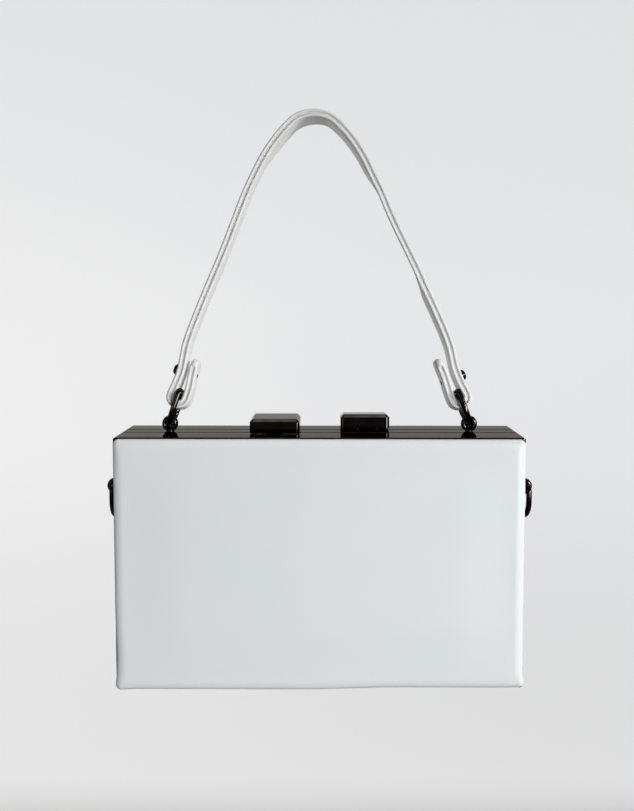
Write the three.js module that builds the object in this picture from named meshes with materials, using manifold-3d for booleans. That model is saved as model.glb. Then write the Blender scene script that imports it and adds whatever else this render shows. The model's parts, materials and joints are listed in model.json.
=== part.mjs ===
// A hard box clutch bag, hanging by its strap: a hinged case with a polished metal frame and two
// padded white panels, two clasp blocks on top, a two-ply strap on two rings, and a ring on each side.
// Millimetres, +Z up, front towards -Y. The origin is under the top of the strap, where it hangs.

import * as THREE from 'three';
import { mergeVertices } from 'three/addons/utils/BufferGeometryUtils.js';
import Module from 'manifold-3d';

const wasm = await Module();
wasm.setup();

// Clearance between pieces that sit against each other
const GAP = 0.3;

// Case frame: the top face is at z = 0 and the middle of the rim band is at y = 0 until the last lines
const CASE_WIDTH = 189.4;
const CASE_HEIGHT = 117.2;
const FRONT_DEPTH = 21.6;
const RIM_DEPTH = 12;
const BACK_DEPTH = 19;
const OPENING_SEAM = 0.4;
const FRAME_WALL = 1.6;
const FRAME_CORNER = 0.8;
const FRAME_CHAMFER = 0.6;
const LIP_WIDTH = 5;
const LIP_THICKNESS = 1.2;

// Padded panels, front and back
const PANEL_THICKNESS = 3;
const PANEL_SIDE_INSET = 0.1;
const PANEL_END_INSET = 0.6;
const PANEL_CORNER = 2.6;
const PANEL_EDGE = 2;
const PANEL_EDGE_STEPS = 4;
const CORNER_STEPS = 5;
const EAR_PUSH = 1.1;
const EAR_SPREAD = 4;

// Clasp blocks: the middle of the front edge, the depth, the height off the frame and the slope of each
const CLASP_FRONT = { x: -21, y: -13.6, depth: 24, lift: 0.3, slope: 1.5 };
const CLASP_BACK = { x: 22, y: 1.3, depth: 18, lift: 1.1, slope: -1.7 };
const BLOCK_WIDTH = 23.6;
const BLOCK_HEIGHT = 6.8;
const BLOCK_CORNER = 1.7;
const BLOCK_CHAMFER = 1.5;
const FOOT_WIDTH = 7.4;
const FOOT_TAPER = 0.9;
const FOOT_SETBACK = 1.4;

// Ball eyes: two on the top of the rim band, one on each of its sides
const EYE_REACH = 3.7;
const EYE_RADIUS = 2.5;
const EYE_TUBE = 1.1;
const EYE_HALF_WIDTH = 2.4;
const EYE_NECK = 1.9;
const POST_X = 71.9;
const LUG_REACH = 4.1;
const LUG_DROP = 26.6;

// D-shaped rings: a straight bar, two short sides and a round end
const WIRE = 1.2;
const RING_HALF = 7.8;
const STRAP_RING_LENGTH = 16.2;
const SIDE_RING_LENGTH = 13.9;
const RING_CORNER = 2.2;
const WIRE_SIDES = 8;
const RING_TILT = { left: 19.5, right: 21.5 };
const SIDE_RING_TURN = { left: 2, right: 9 };

// Strap: two plies, leaning back and slightly to the left at its top
const STRAP_WIDTH = 12.5;
const PLY = 2;
const PLY_ROUND = 0.9;
const EDGE_GROOVE = 0.7;
const STRAP_LEAN = 9;
const STRAP_DRIFT = 0.02;
const FOLD_PLAY = 0.5;
const FOLD_RADIUS = WIRE + FOLD_PLAY + PLY;
const FOLD_DROP = 3;
const FOLD_STEPS = 6;
const TONGUE = 4.2;
const TONGUE_TIP = 0.3;

// Mid-line of the handle from its top down: height above the post eyes, and how far out each leg is
const HANDLE_ROWS = [
  { rise: 150.8, left: 0, right: 0, steps: 3 },
  { rise: 149.1, left: 7.6, right: 7.6, steps: 3 },
  { rise: 142.7, left: 14.8, right: 14.8, steps: 3 },
  { rise: 131, left: 23.5, right: 23, steps: 3 },
  { rise: 113.2, left: 32.6, right: 31, steps: 3 },
  { rise: 98.6, left: 38.5, right: 36.8, steps: 3 },
  { rise: 84, left: 44.2, right: 43.4, steps: 3 },
  { rise: 54.8, left: 56.6, right: 56.5, steps: 3 },
  { rise: 38, left: 63, right: 63, steps: 3 },
];

// Strap ends: distance up from the middle of the fold, and out from it, of each layer
const FOLD_ROWS = {
  left: [
    { up: 20.2, tab: -1.75 },
    { up: 13, tab: -2.4, main: 3.2 },
    { up: 6, tab: -3.5, main: 3.2 },
    { up: 2.5, tab: -3.7, main: 3.5 },
  ],
  right: [
    { up: 21.3, tab: -3.25 },
    { up: 13, tab: -2.95, main: 3.1 },
    { up: 6, tab: -3.45, main: 3.15 },
    { up: 2.5, tab: -3.7, main: 3.5 },
  ],
};
const FOLD_ROW_STEPS = 3;

// Rivets through both layers of each strap end
const RIVET_UP = { left: 12.4, right: 9.7 };
const RIVET_HEAD = 2.9;
const RIVET_DOME = 2.3;
const RIVET_SHANK = 0.7;
const RIVET_BACK = 1.3;
const RIVET_BACK_DEPTH = 0.3;
const RIVET_SEAT = 0.6;
const RIVET_SIDES = 16;

// Hinge under the bottom of the case
const HINGE_LENGTH = 60;
const HINGE_LEAF = 0.7;
const HINGE_LEAF_DEPTH = 9;
const HINGE_KNUCKLE = 1.5;
const HINGE_PIN = 0.6;
const HINGE_BORE = 0.9;
const HINGE_DROP = 1.9;
const HINGE_SIDES = 16;

// The two sides of the bag
const LEFT = { name: 'left', sign: -1 };
const RIGHT = { name: 'right', sign: 1 };

// Finishes
const GUNMETAL = { color: 0x4a4641, roughness: 0.18, metalness: 1 };
const WHITE_LEATHER = { color: 0xe9ecee, roughness: 0.42, metalness: 0 };

// Depths that follow from the driving sizes
const rimFrontY = -RIM_DEPTH / 2;
const rimBackY = RIM_DEPTH / 2;
const frontBackY = rimFrontY - OPENING_SEAM;
const frontFrontY = frontBackY - FRONT_DEPTH;
const backFrontY = rimBackY + GAP;
const backBackY = backFrontY + BACK_DEPTH;
const claspBackFootY = CLASP_BACK.y + CLASP_BACK.depth - 2 * FOOT_SETBACK;
const hingeY = (rimFrontY + frontBackY) / 2;
const hingeZ = -CASE_HEIGHT - HINGE_DROP;

const radians = (degrees) => THREE.MathUtils.degToRad(degrees);

// Solids from closed geometry, and back again
function solidOf(geometry) {
  const bare = geometry.clone();
  bare.deleteAttribute('normal');
  bare.deleteAttribute('uv');
  const merged = mergeVertices(bare, 1e-4);
  return new wasm.Manifold(new wasm.Mesh({
    numProp: 3,
    vertProperties: new Float32Array(merged.attributes.position.array),
    triVerts: new Uint32Array(merged.index.array),
  }));
}

function geometryOf(solid) {
  const mesh = solid.getMesh();
  const geometry = new THREE.BufferGeometry();
  geometry.setAttribute('position', new THREE.BufferAttribute(mesh.vertProperties, 3));
  geometry.setIndex(new THREE.BufferAttribute(mesh.triVerts, 1));
  return geometry;
}

function join(...geometries) {
  return geometryOf(geometries.map(solidOf).reduce((whole, piece) => whole.add(piece)));
}

function cut(geometry, ...tools) {
  return geometryOf(tools.map(solidOf).reduce((whole, tool) => whole.subtract(tool), solidOf(geometry)));
}

// A skin through rings of points: closed end to end when looped, and capped by a fan otherwise
function skin(rings, looped) {
  const count = rings[0].length;
  const points = rings.flat();
  const faces = [];
  const last = looped ? rings.length : rings.length - 1;
  for (let row = 0; row < last; row += 1) {
    const next = (row + 1) % rings.length;
    for (let i = 0; i < count; i += 1) {
      const j = (i + 1) % count;
      const [a, b, c, d] = [row * count + i, row * count + j, next * count + j, next * count + i];
      faces.push([a, b, c], [a, c, d]);
    }
  }
  if (!looped) {
    [rings[0], rings.at(-1)].forEach((ring, end) => {
      const middle = points.length;
      const first = end === 0 ? 0 : (rings.length - 1) * count;
      points.push(ring.reduce((sum, p) => sum.add(p), new THREE.Vector3()).divideScalar(count));
      for (let i = 0; i < count; i += 1) {
        const [a, b] = [first + i, first + ((i + 1) % count)];
        faces.push(end === 0 ? [b, a, middle] : [a, b, middle]);
      }
    });
  }
  const volume = faces.reduce((sum, [a, b, c]) => (
    sum + points[a].dot(new THREE.Vector3().crossVectors(points[b], points[c]))), 0);
  const outward = volume > 0 ? faces : faces.map(([a, b, c]) => [a, c, b]);
  const geometry = new THREE.BufferGeometry().setFromPoints(points);
  geometry.setIndex(outward.flat());
  return geometry;
}

function arc(centre, radius, from, to, steps) {
  return Array.from({ length: steps + 1 }, (_, i) => {
    const angle = from + ((to - from) * i) / steps;
    return new THREE.Vector2(centre.x + radius * Math.cos(angle), centre.y + radius * Math.sin(angle));
  });
}

// Rounded rectangle round the middle of the case, as seen from the front
function caseOutline(sideInset, endInset, corner) {
  const halfWidth = CASE_WIDTH / 2 - sideInset - corner;
  const halfHeight = CASE_HEIGHT / 2 - endInset - corner;
  const corners = [[1, 1], [-1, 1], [-1, -1], [1, -1]];
  return corners.flatMap(([sx, sz], i) => {
    const centre = new THREE.Vector2(sx * halfWidth, sz * halfHeight - CASE_HEIGHT / 2);
    return arc(centre, corner, (i * Math.PI) / 2, ((i + 1) * Math.PI) / 2, CORNER_STEPS);
  });
}

// A band of the case with a wall all round, from one depth to another
function band(fromY, toY, outerInset, innerInset, chamfer) {
  const shape = new THREE.Shape(caseOutline(outerInset, outerInset, FRAME_CORNER));
  shape.holes.push(new THREE.Path(caseOutline(innerInset, innerInset, FRAME_CORNER).reverse()));
  const geometry = new THREE.ExtrudeGeometry(shape, {
    depth: toY - fromY - 2 * chamfer,
    steps: 1,
    bevelEnabled: chamfer > 0,
    bevelThickness: chamfer,
    bevelSize: chamfer,
    bevelOffset: -chamfer,
    bevelSegments: 1,
  });
  return geometry.rotateX(Math.PI / 2).translate(0, toY - chamfer, 0);
}

function frame(fromY, toY) {
  return band(fromY, toY, 0, FRAME_WALL, FRAME_CHAMFER);
}

// The frame of one half, with an inward lip that its panel is glued to
function panelFrame(fromY, toY, lipFromY) {
  const lip = band(lipFromY, lipFromY + LIP_THICKNESS, FRAME_WALL / 2, FRAME_WALL + LIP_WIDTH, 0);
  return join(frame(fromY, toY), lip);
}

// The leather stands out a little at the two lower corners of a panel
function pushEars(point) {
  const x = Math.abs(point.x) - CASE_WIDTH / 2;
  const z = point.y + CASE_HEIGHT;
  const push = EAR_PUSH * Math.exp(-(x * x + z * z) / (2 * EAR_SPREAD * EAR_SPREAD)) * Math.SQRT1_2;
  return new THREE.Vector2(point.x + Math.sign(point.x) * push, point.y - push);
}

// A padded board: square at its back, rounded over at the edge of its outer face
function panel(backY, outward) {
  const layers = [{ inset: 0, out: 0 }];
  for (let i = 0; i <= PANEL_EDGE_STEPS; i += 1) {
    const angle = (i / PANEL_EDGE_STEPS) * (Math.PI / 2);
    layers.push({
      inset: PANEL_EDGE * (1 - Math.cos(angle)),
      out: PANEL_THICKNESS - PANEL_EDGE * (1 - Math.sin(angle)),
    });
  }
  const rings = layers.map(({ inset, out }) => (
    caseOutline(PANEL_SIDE_INSET + inset, PANEL_END_INSET + inset, PANEL_CORNER - inset)
      .map(pushEars)
      .map((p) => new THREE.Vector3(p.x, backY + outward * out, p.y))));
  return skin(rings, false);
}

// A clasp block with a chamfered top, on a tapered foot that stands on the frame between two depths
function clasp({ x, y, depth, lift, slope }, footFromY, footToY) {
  const half = { x: BLOCK_WIDTH / 2 - BLOCK_CORNER, y: depth / 2 - BLOCK_CORNER };
  const corners = [[1, 1], [-1, 1], [-1, -1], [1, -1]];
  const layer = (inset, height) => corners.flatMap(([sx, sy], i) => arc(
    { x: sx * half.x, y: depth / 2 + sy * half.y },
    BLOCK_CORNER - inset, (i * Math.PI) / 2, ((i + 1) * Math.PI) / 2, 3,
  ).map((p) => new THREE.Vector3(p.x, p.y, height)));
  const block = skin([
    layer(0, 0),
    layer(0, BLOCK_HEIGHT - BLOCK_CHAMFER),
    layer(BLOCK_CHAMFER, BLOCK_HEIGHT),
  ], false);
  block.rotateX(radians(slope)).translate(x, y, lift);
  const low = FOOT_WIDTH / 2;
  const high = low - FOOT_TAPER;
  const footTop = lift + BLOCK_HEIGHT / 4;
  const side = [[-low, GAP], [low, GAP], [high, footTop], [-high, footTop]];
  const foot = new THREE.ExtrudeGeometry(new THREE.Shape(side.map(([u, v]) => new THREE.Vector2(u, v))), {
    depth: footToY - footFromY,
    bevelEnabled: false,
  });
  return join(block, foot.rotateX(Math.PI / 2).translate(x, footToY, 0));
}

// A ball eye on a neck, standing along +Z on a face at z = 0, with its hole along Y
function eye(reach) {
  const profile = Array.from({ length: 9 }, (_, i) => {
    const angle = (i / 8) * 2 * Math.PI;
    return new THREE.Vector2(EYE_RADIUS + EYE_TUBE * Math.cos(angle), EYE_HALF_WIDTH * Math.sin(angle));
  });
  profile[8].copy(profile[0]);
  const ring = new THREE.LatheGeometry(profile, 20).translate(0, 0, reach);
  const neckHeight = reach - EYE_RADIUS;
  const neck = new THREE.CylinderGeometry(EYE_NECK * 0.85, EYE_NECK, neckHeight - GAP, 16);
  neck.rotateX(Math.PI / 2).translate(0, 0, (neckHeight + GAP) / 2);
  return join(ring, neck);
}

// A D-shaped wire ring in the YZ plane, with the middle of its straight bar at the origin
function dRing(length) {
  const side = RING_HALF - RING_CORNER;
  const roundZ = RING_HALF - length;
  const path = [
    ...arc({ x: side, y: -RING_CORNER }, RING_CORNER, Math.PI / 2, 0, 3),
    ...arc({ x: 0, y: roundZ }, RING_HALF, 0, -Math.PI, 14),
    ...arc({ x: -side, y: -RING_CORNER }, RING_CORNER, Math.PI, Math.PI / 2, 3),
    new THREE.Vector2(0, 0),
  ];
  const rings = path.map((point, i) => {
    const before = path.at(i - 1);
    const after = path[(i + 1) % path.length];
    const along = after.clone().sub(before).normalize();
    return Array.from({ length: WIRE_SIDES }, (_, k) => {
      const angle = (k / WIRE_SIDES) * 2 * Math.PI;
      const out = WIRE * Math.cos(angle);
      return new THREE.Vector3(WIRE * Math.sin(angle), point.x - along.y * out, point.y + along.x * out);
    });
  });
  return skin(rings, true);
}

// Middle of a strap ring's bar and of the fold below it, and the directions up and out from them
function ringPlace({ name, sign }) {
  const tilt = radians(RING_TILT[name]);
  const up = new THREE.Vector2(-sign * Math.sin(tilt), Math.cos(tilt));
  const out = new THREE.Vector2(sign * up.y, -sign * up.x);
  const bar = new THREE.Vector2(sign * POST_X, 0).addScaledVector(up, STRAP_RING_LENGTH);
  const fold = bar.clone().addScaledVector(up, -FOLD_DROP);
  return { bar, fold, up, out };
}

// One half of the strap's mid-line, from the end of its tab round the fold and up to the top
function strapHalf(side) {
  const { fold, up, out } = ringPlace(side);
  const rows = FOLD_ROWS[side.name];
  const beside = (away, along) => fold.clone().addScaledVector(out, away).addScaledVector(up, along);
  const stops = [];
  rows.forEach((row) => stops.push({ at: beside(row.tab, row.up), steps: FOLD_ROW_STEPS }));
  arc({ x: 0, y: 0 }, FOLD_RADIUS, Math.PI, 2 * Math.PI, FOLD_STEPS)
    .forEach((p) => stops.push({ at: beside(p.x, p.y), steps: 2 }));
  [...rows].reverse().filter((row) => row.main).forEach((row) => (
    stops.push({ at: beside(row.main, row.up), steps: FOLD_ROW_STEPS })));
  [...HANDLE_ROWS].reverse().forEach((row) => stops.push({
    at: new THREE.Vector2(side.sign * row[side.name] - STRAP_DRIFT * row.rise, row.rise), steps: row.steps,
  }));
  return stops;
}

// Stations along the whole strap, each with its place and its direction
function strapStations() {
  const left = strapHalf(LEFT);
  const right = strapHalf(RIGHT).reverse().slice(1);
  const stops = [...left, ...right];
  const line = new THREE.CatmullRomCurve3(
    stops.map(({ at }) => new THREE.Vector3(at.x, 0, at.y)), false, 'centripetal');
  const share = 1 / (stops.length - 1);
  const stations = [];
  for (let i = 0; i < stops.length - 1; i += 1) {
    const steps = Math.max(stops[i].steps, stops[i + 1].steps);
    for (let k = 0; k < steps; k += 1) stations.push((i + k / steps) * share);
  }
  stations.push(1);
  return stations.map((u) => ({ at: line.getPoint(u), along: line.getTangent(u) }));
}

// Section of the strap: two rounded plies with a groove between them at each edge
function strapSection() {
  const half = STRAP_WIDTH / 2;
  const round = PLY_ROUND * 0.3;
  const edge = [
    [half - PLY_ROUND, -PLY], [half - round, -PLY + round], [half, -PLY / 2], [half - round, -round],
    [half - EDGE_GROOVE, 0], [half - round, round], [half, PLY / 2], [half - round, PLY - round],
    [half - PLY_ROUND, PLY],
  ];
  return [...edge, ...edge.map(([w, t]) => [-w, -t])];
}

function strap() {
  const stations = strapStations();
  const section = strapSection();
  const travelled = [0];
  stations.slice(1).forEach((s, i) => travelled.push(travelled[i] + s.at.distanceTo(stations[i].at)));
  const length = travelled.at(-1);
  const rings = stations.map(({ at, along }, i) => {
    const fromEnd = Math.min(travelled[i], length - travelled[i]);
    const inTongue = 1 - Math.min(fromEnd / TONGUE, 1);
    const narrow = Math.max(Math.sqrt(1 - inTongue * inTongue), TONGUE_TIP);
    return section.map(([w, t]) => new THREE.Vector3(at.x + along.z * t, w * narrow, at.z - along.x * t));
  });
  return skin(rings, false);
}

// Distance out from the fold of one layer of a strap end, at a height up from the fold
function layerOut(side, layer, rise) {
  const [, high, low] = FOLD_ROWS[side.name];
  return THREE.MathUtils.mapLinear(rise, low.up, high.up, low[layer], high[layer]);
}

// Where a rivet goes through a strap end: its middle, its outward direction and its half length
function rivetPlace(side) {
  const { fold, up, out } = ringPlace(side);
  const rise = RIVET_UP[side.name];
  const main = layerOut(side, 'main', rise);
  const tab = layerOut(side, 'tab', rise);
  const middle = fold.clone().addScaledVector(up, rise).addScaledVector(out, (main + tab) / 2);
  const face = (main - tab) / 2 + PLY + RIVET_SEAT;
  return { x: middle.x, z: middle.y, turn: Math.atan2(out.y, out.x), face };
}

// Turned piece along X, from its profile of places along the axis and radii
function turned(rows, sides) {
  const points = rows.map(({ along, radius }) => new THREE.Vector2(radius, along));
  return new THREE.LatheGeometry(points, sides).rotateZ(-Math.PI / 2);
}

// A rivet along X: a domed head outside, a shank, and a small flat end inside
function rivet(face) {
  const dome = [0.35, 0.7, 1].map((share) => ({
    along: face + RIVET_DOME * Math.sin((share * Math.PI) / 2),
    radius: RIVET_HEAD * Math.cos((share * Math.PI) / 2),
  }));
  dome.at(-1).radius = 0;
  return turned([
    { along: -face - RIVET_BACK_DEPTH, radius: 0 },
    { along: -face - RIVET_BACK_DEPTH, radius: RIVET_BACK },
    { along: -face, radius: RIVET_BACK },
    { along: -face, radius: RIVET_SHANK },
    { along: face, radius: RIVET_SHANK },
    { along: face, radius: RIVET_HEAD },
    ...dome,
  ], RIVET_SIDES);
}

function rivetHole() {
  const reach = FOLD_RADIUS + 3 * PLY;
  return turned([
    { along: -reach, radius: 0 },
    { along: -reach, radius: RIVET_SHANK + GAP },
    { along: reach, radius: RIVET_SHANK + GAP },
    { along: reach, radius: 0 },
  ], RIVET_SIDES);
}

// Hinge pieces, along X at the seam of the case: a leaf under the frame with its knuckles
function knuckle(fromX, toX) {
  const geometry = new THREE.CylinderGeometry(HINGE_KNUCKLE, HINGE_KNUCKLE, toX - fromX, HINGE_SIDES);
  return geometry.rotateZ(Math.PI / 2).translate((fromX + toX) / 2, hingeY, hingeZ);
}

function leaf(fromX, toX, outward) {
  const geometry = new THREE.BoxGeometry(toX - fromX, HINGE_LEAF_DEPTH, HINGE_LEAF);
  const y = hingeY + (outward * HINGE_LEAF_DEPTH) / 2;
  return geometry.translate((fromX + toX) / 2, y, -CASE_HEIGHT - GAP - HINGE_LEAF / 2);
}

function hingeRod(radius, length) {
  return new THREE.CylinderGeometry(radius, radius, length, HINGE_SIDES)
    .rotateZ(Math.PI / 2).translate(0, hingeY, hingeZ);
}

function hingeFront() {
  const half = HINGE_LENGTH / 6 - GAP;
  const body = join(knuckle(-half, half), leaf(-half, half, -1));
  return cut(body, hingeRod(HINGE_BORE, HINGE_LENGTH));
}

function hingeBack() {
  const inner = HINGE_LENGTH / 6;
  const outer = HINGE_LENGTH / 2;
  return join(
    hingeRod(HINGE_PIN, HINGE_LENGTH - GAP),
    knuckle(-outer, -inner), leaf(-outer, -inner, 1),
    knuckle(inner, outer), leaf(inner, outer, 1));
}

// A named piece with its own finish
function piece(name, geometry, finish) {
  const mesh = new THREE.Mesh(geometry, new THREE.MeshStandardMaterial(finish));
  mesh.name = name;
  return mesh;
}

const bag = new THREE.Group();

// Case
bag.add(
  piece('front_frame', panelFrame(frontFrontY, frontBackY, frontFrontY + FRAME_CHAMFER), GUNMETAL),
  piece('rim_frame', frame(rimFrontY, rimBackY), GUNMETAL),
  piece('back_frame', panelFrame(backFrontY, backBackY, backBackY - FRAME_CHAMFER - LIP_THICKNESS), GUNMETAL),
  piece('front_panel', panel(frontFrontY - GAP, -1), WHITE_LEATHER),
  piece('back_panel', panel(backBackY + GAP, 1), WHITE_LEATHER),
  piece('clasp_front', clasp(CLASP_FRONT, CLASP_FRONT.y + FOOT_SETBACK, frontBackY - 1), GUNMETAL),
  piece('clasp_back', clasp(CLASP_BACK, CLASP_BACK.y + FOOT_SETBACK, claspBackFootY), GUNMETAL),
  piece('hinge_front', hingeFront(), GUNMETAL),
  piece('hinge_back', hingeBack(), GUNMETAL),
);

// Posts on the top, and lugs with hanging rings on the sides
[LEFT, RIGHT].forEach(({ name, sign }) => {
  const post = piece(`post_${name}`, eye(EYE_REACH), GUNMETAL);
  post.position.x = sign * POST_X;

  const lug = piece(`lug_${name}`, eye(LUG_REACH), GUNMETAL);
  lug.position.set(sign * (CASE_WIDTH / 2), 0, -LUG_DROP);
  lug.rotation.y = sign * (Math.PI / 2);

  const ring = piece(`side_ring_${name}`, dRing(SIDE_RING_LENGTH), GUNMETAL);
  ring.position.set(sign * (CASE_WIDTH / 2 + LUG_REACH), 0, -LUG_DROP);
  ring.rotation.z = sign * radians(SIDE_RING_TURN[name]);
  bag.add(post, lug, ring);
});

// Handle: leans back about the line through the post eyes
const handle = new THREE.Group();
handle.position.z = EYE_REACH;
handle.rotation.x = -radians(STRAP_LEAN);
const rivetHoles = [LEFT, RIGHT].map((side) => {
  const { bar } = ringPlace(side);
  const ring = piece(`strap_ring_${side.name}`, dRing(STRAP_RING_LENGTH), GUNMETAL);
  ring.position.set(bar.x, 0, bar.y);
  ring.rotation.y = -side.sign * radians(RING_TILT[side.name]);

  const { x, z, turn, face } = rivetPlace(side);
  const pin = piece(`rivet_${side.name}`, rivet(face), GUNMETAL);
  pin.position.set(x, 0, z);
  pin.rotation.y = -turn;
  handle.add(ring, pin);
  return rivetHole().rotateY(-turn).translate(x, 0, z);
});
handle.add(piece('strap', cut(strap(), ...rivetHoles), WHITE_LEATHER));
bag.add(handle);

// The origin goes to the underside of the strap's top
const top = HANDLE_ROWS[0].rise;
const hook = new THREE.Vector3(-STRAP_DRIFT * top, 0, top - PLY);
bag.updateMatrixWorld(true);
bag.position.copy(handle.localToWorld(hook).negate());

export default bag;
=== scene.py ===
# A hard white box clutch with a polished gunmetal frame, hanging by its strap.
# Metres, +Z up, front towards -Y. The origin is under the top of the strap.

import json
import math

import bmesh
import bpy
from mathutils import Matrix, Vector
from mathutils.geometry import interpolate_bezier

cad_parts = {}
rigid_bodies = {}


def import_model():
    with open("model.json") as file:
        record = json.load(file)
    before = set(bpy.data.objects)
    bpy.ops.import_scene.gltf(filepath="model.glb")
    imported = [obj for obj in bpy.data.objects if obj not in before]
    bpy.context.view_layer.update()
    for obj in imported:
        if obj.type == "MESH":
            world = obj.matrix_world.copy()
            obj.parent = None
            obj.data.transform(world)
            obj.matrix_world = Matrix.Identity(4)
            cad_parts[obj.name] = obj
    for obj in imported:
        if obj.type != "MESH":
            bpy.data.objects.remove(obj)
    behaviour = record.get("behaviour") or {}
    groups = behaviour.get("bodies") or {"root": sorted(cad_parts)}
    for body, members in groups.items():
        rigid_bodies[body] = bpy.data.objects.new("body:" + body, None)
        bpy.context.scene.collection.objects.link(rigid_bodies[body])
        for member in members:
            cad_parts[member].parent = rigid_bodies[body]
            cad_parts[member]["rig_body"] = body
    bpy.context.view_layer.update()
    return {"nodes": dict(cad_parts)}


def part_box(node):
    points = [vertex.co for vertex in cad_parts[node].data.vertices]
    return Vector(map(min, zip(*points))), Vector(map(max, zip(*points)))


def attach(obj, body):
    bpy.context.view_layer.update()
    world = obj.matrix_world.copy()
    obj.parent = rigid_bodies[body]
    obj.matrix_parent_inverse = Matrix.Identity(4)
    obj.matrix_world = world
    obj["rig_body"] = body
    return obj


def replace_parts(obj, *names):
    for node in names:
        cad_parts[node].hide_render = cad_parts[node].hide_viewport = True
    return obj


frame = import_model()

# Sizes are in millimetres, from the middle of the rim band's top face, and become metres where used
MM = 0.001
# Least gap between faces that would touch, and least distance between points that stay apart
HAIR = 0.02
MERGE = 0.01
# How near a direction has to be to an axis, or a place to the top, for what lies there to be selected
ALONG = 0.9
ACROSS = 0.1
FLAT = 0.9999
NEAR_TOP = 0.9

FRAME_THICKNESS = 1.6
FRAME_CORNER = 1.05
FRAME_EDGE = 0.4
SEAM_ROUND = 0.95
BAND_MARGIN = 1.0
LIP_WIDTH = 5.0

PANEL_SIDE_INSET = 0.3
PANEL_END_INSET = 0.6
PANEL_CORNER = 2.6
PANEL_CROWN = 0.8
PANEL_COLUMNS = 24
PANEL_ROWS = 16
CORNER_CLOSING = 0.3
CORNER_MERGE = 0.4
CROWN_MARGIN = 24.0
ROLL_WIDTH = 4.5
ROLL_DEPTH = 2.0
ROLL_STEPS = 10
# Set of the leather, as pulls on a panel: from and to across, from and to in height, move and reach
PANEL_PULLS = {
    "front_panel": [
        ((-96, -5), (-119, -115.5), (0, 0, -1.1), 45),
        ((-96, -93), (-109, -99), (0.5, 0, 0), 22),
        ((-96, -91), (-122, -114), (-0.5, 0, -0.4), 7),
        ((91, 96), (-122, -114), (0.8, 0, 0.2), 7),
    ],
    "back_panel": [
        ((-96, -91), (-122, -114), (-0.8, 0, -0.6), 9),
        ((91, 96), (-122, -114), (0.8, 0, -0.6), 9),
    ],
}

LINING_GAP = 0.2
LINING_EDGE = 0.5

BLOCK_SIZE = (23.6, 6.8)
BLOCK_CORNER = 1.7
BLOCK_CHAMFER = 1.5
BLOCK_EDGE = 0.14
FOOT_WIDTH = 7.4
FOOT_TAPER = 0.9
FOOT_SETBACK = 1.4
FOOT_EDGE = 0.15
BLOCKS = {
    "clasp_front": {"x": -21.0, "y": -13.6, "depth": 24.0, "lift": 0.3, "slope": 1.5, "foot_to": -7.4},
    "clasp_back": {"x": 22.0, "y": 1.3, "depth": 18.0, "lift": 1.1, "slope": -1.7, "foot_to": 16.5},
}

EYE_REACH = 3.7
EYE_RADIUS = 2.65
EYE_TUBE = 1.25
EYE_HALF_WIDTH = 2.4
EYE_NECK = 1.9
EYE_NECK_LAP = 0.2
EYE_NECK_WAIST = 0.78
EYE_NECK_EDGE = 0.12
POST_X = 71.9
CASE_HALF_WIDTH = 94.7
LUG_REACH = 4.1
LUG_DROP = 26.6

WIRE = 1.2
WIRE_BODY = 1.33
RING_HALF = 7.8
STRAP_RING_LENGTH = 16.2
SIDE_RING_LENGTH = 13.9
RING_CORNER = 2.2
RING_TILT = {"left": 19.5, "right": 21.5}
SIDE_RING_TURN = {"left": 2.0, "right": 9.0}

STRAP_WIDTH = 12.5
PLY = 1.7
CORE = 0.6
CORE_RECESS = 0.45
STRAP_HALF = PLY + CORE / 2
STRAP_LEAN = 9.0
STRAP_DRIFT = 0.02
FOLD_PLAY = 0.5
FOLD_RADIUS = WIRE + FOLD_PLAY + STRAP_HALF
FOLD_DROP = 3.0
FOLD_STOPS = 6
FAR_EDGE_SHARE = 0.45
EDGE_SLANT = 0.35
TONGUE = 4.2
TONGUE_ROUND = 4.1
TONGUE_EDGE = 1.85
TONGUE_LAP = 0.6

# Mid-line of the strap from its top down: height above the post eyes, and how far out each leg is
HANDLE_ROWS = [
    (150.8, {"left": 0.0, "right": 0.0}),
    (149.1, {"left": 7.6, "right": 7.6}),
    (142.7, {"left": 14.8, "right": 14.8}),
    (131.0, {"left": 23.5, "right": 23.0}),
    (113.2, {"left": 32.6, "right": 31.0}),
    (98.6, {"left": 38.5, "right": 36.8}),
    (84.0, {"left": 44.2, "right": 43.4}),
    (54.8, {"left": 56.6, "right": 56.5}),
    (38.0, {"left": 63.0, "right": 63.0}),
]
# Strap ends: distance up from the middle of the fold, and out from it, of the tab and of the main run
LOW_ROW = 6.0
HIGH_ROW = 13.0
TAB_ROWS = {
    "left": [(20.2, -1.75), (HIGH_ROW, -2.4), (LOW_ROW, -3.5), (2.5, -3.7)],
    "right": [(21.3, -3.25), (HIGH_ROW, -2.95), (LOW_ROW, -3.45), (2.5, -3.7)],
}
MAIN_ROWS = {
    "left": [(2.5, 3.5), (LOW_ROW, 3.2), (HIGH_ROW, 3.2)],
    "right": [(2.5, 3.5), (LOW_ROW, 3.15), (HIGH_ROW, 3.1)],
}
# Steps to take along the strap's line
TAB_STEP = 0.6
FOLD_STEP = 0.45
MAIN_STEP = 1.5
HANDLE_STEP = 1.8

# Twist of the strap, as pulls on its far edge: from and to across, from and to in height, move and reach
FAR_EDGE_PULLS = [
    ((-20, -8), (130, 160), (0.5, 0, -0.7), 13),
    ((20, 60), (75, 112), (1.9, 0, 0.7), 16),
]

RIVET_UP = {"left": 12.4, "right": 9.7}
RIVET_HEAD = 2.9
RIVET_DOME = 2.3
RIVET_ROUND = 2.139
RIVET_SINK = 0.1
RIVET_BACK = 1.0
RIVET_BACK_HALF = 0.2
RIVET_BACK_EDGE = 0.12

HINGE_LENGTH = 60.0
HINGE_GAP = 0.3
HINGE_KNUCKLE = 1.5
HINGE_KNUCKLE_EDGE = 0.25
HINGE_LEAF = 0.7
HINGE_LEAF_DEPTH = 9.0
HINGE_LEAF_CORNER = 0.9
HINGE_LEAF_EDGE = 0.15

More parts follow.
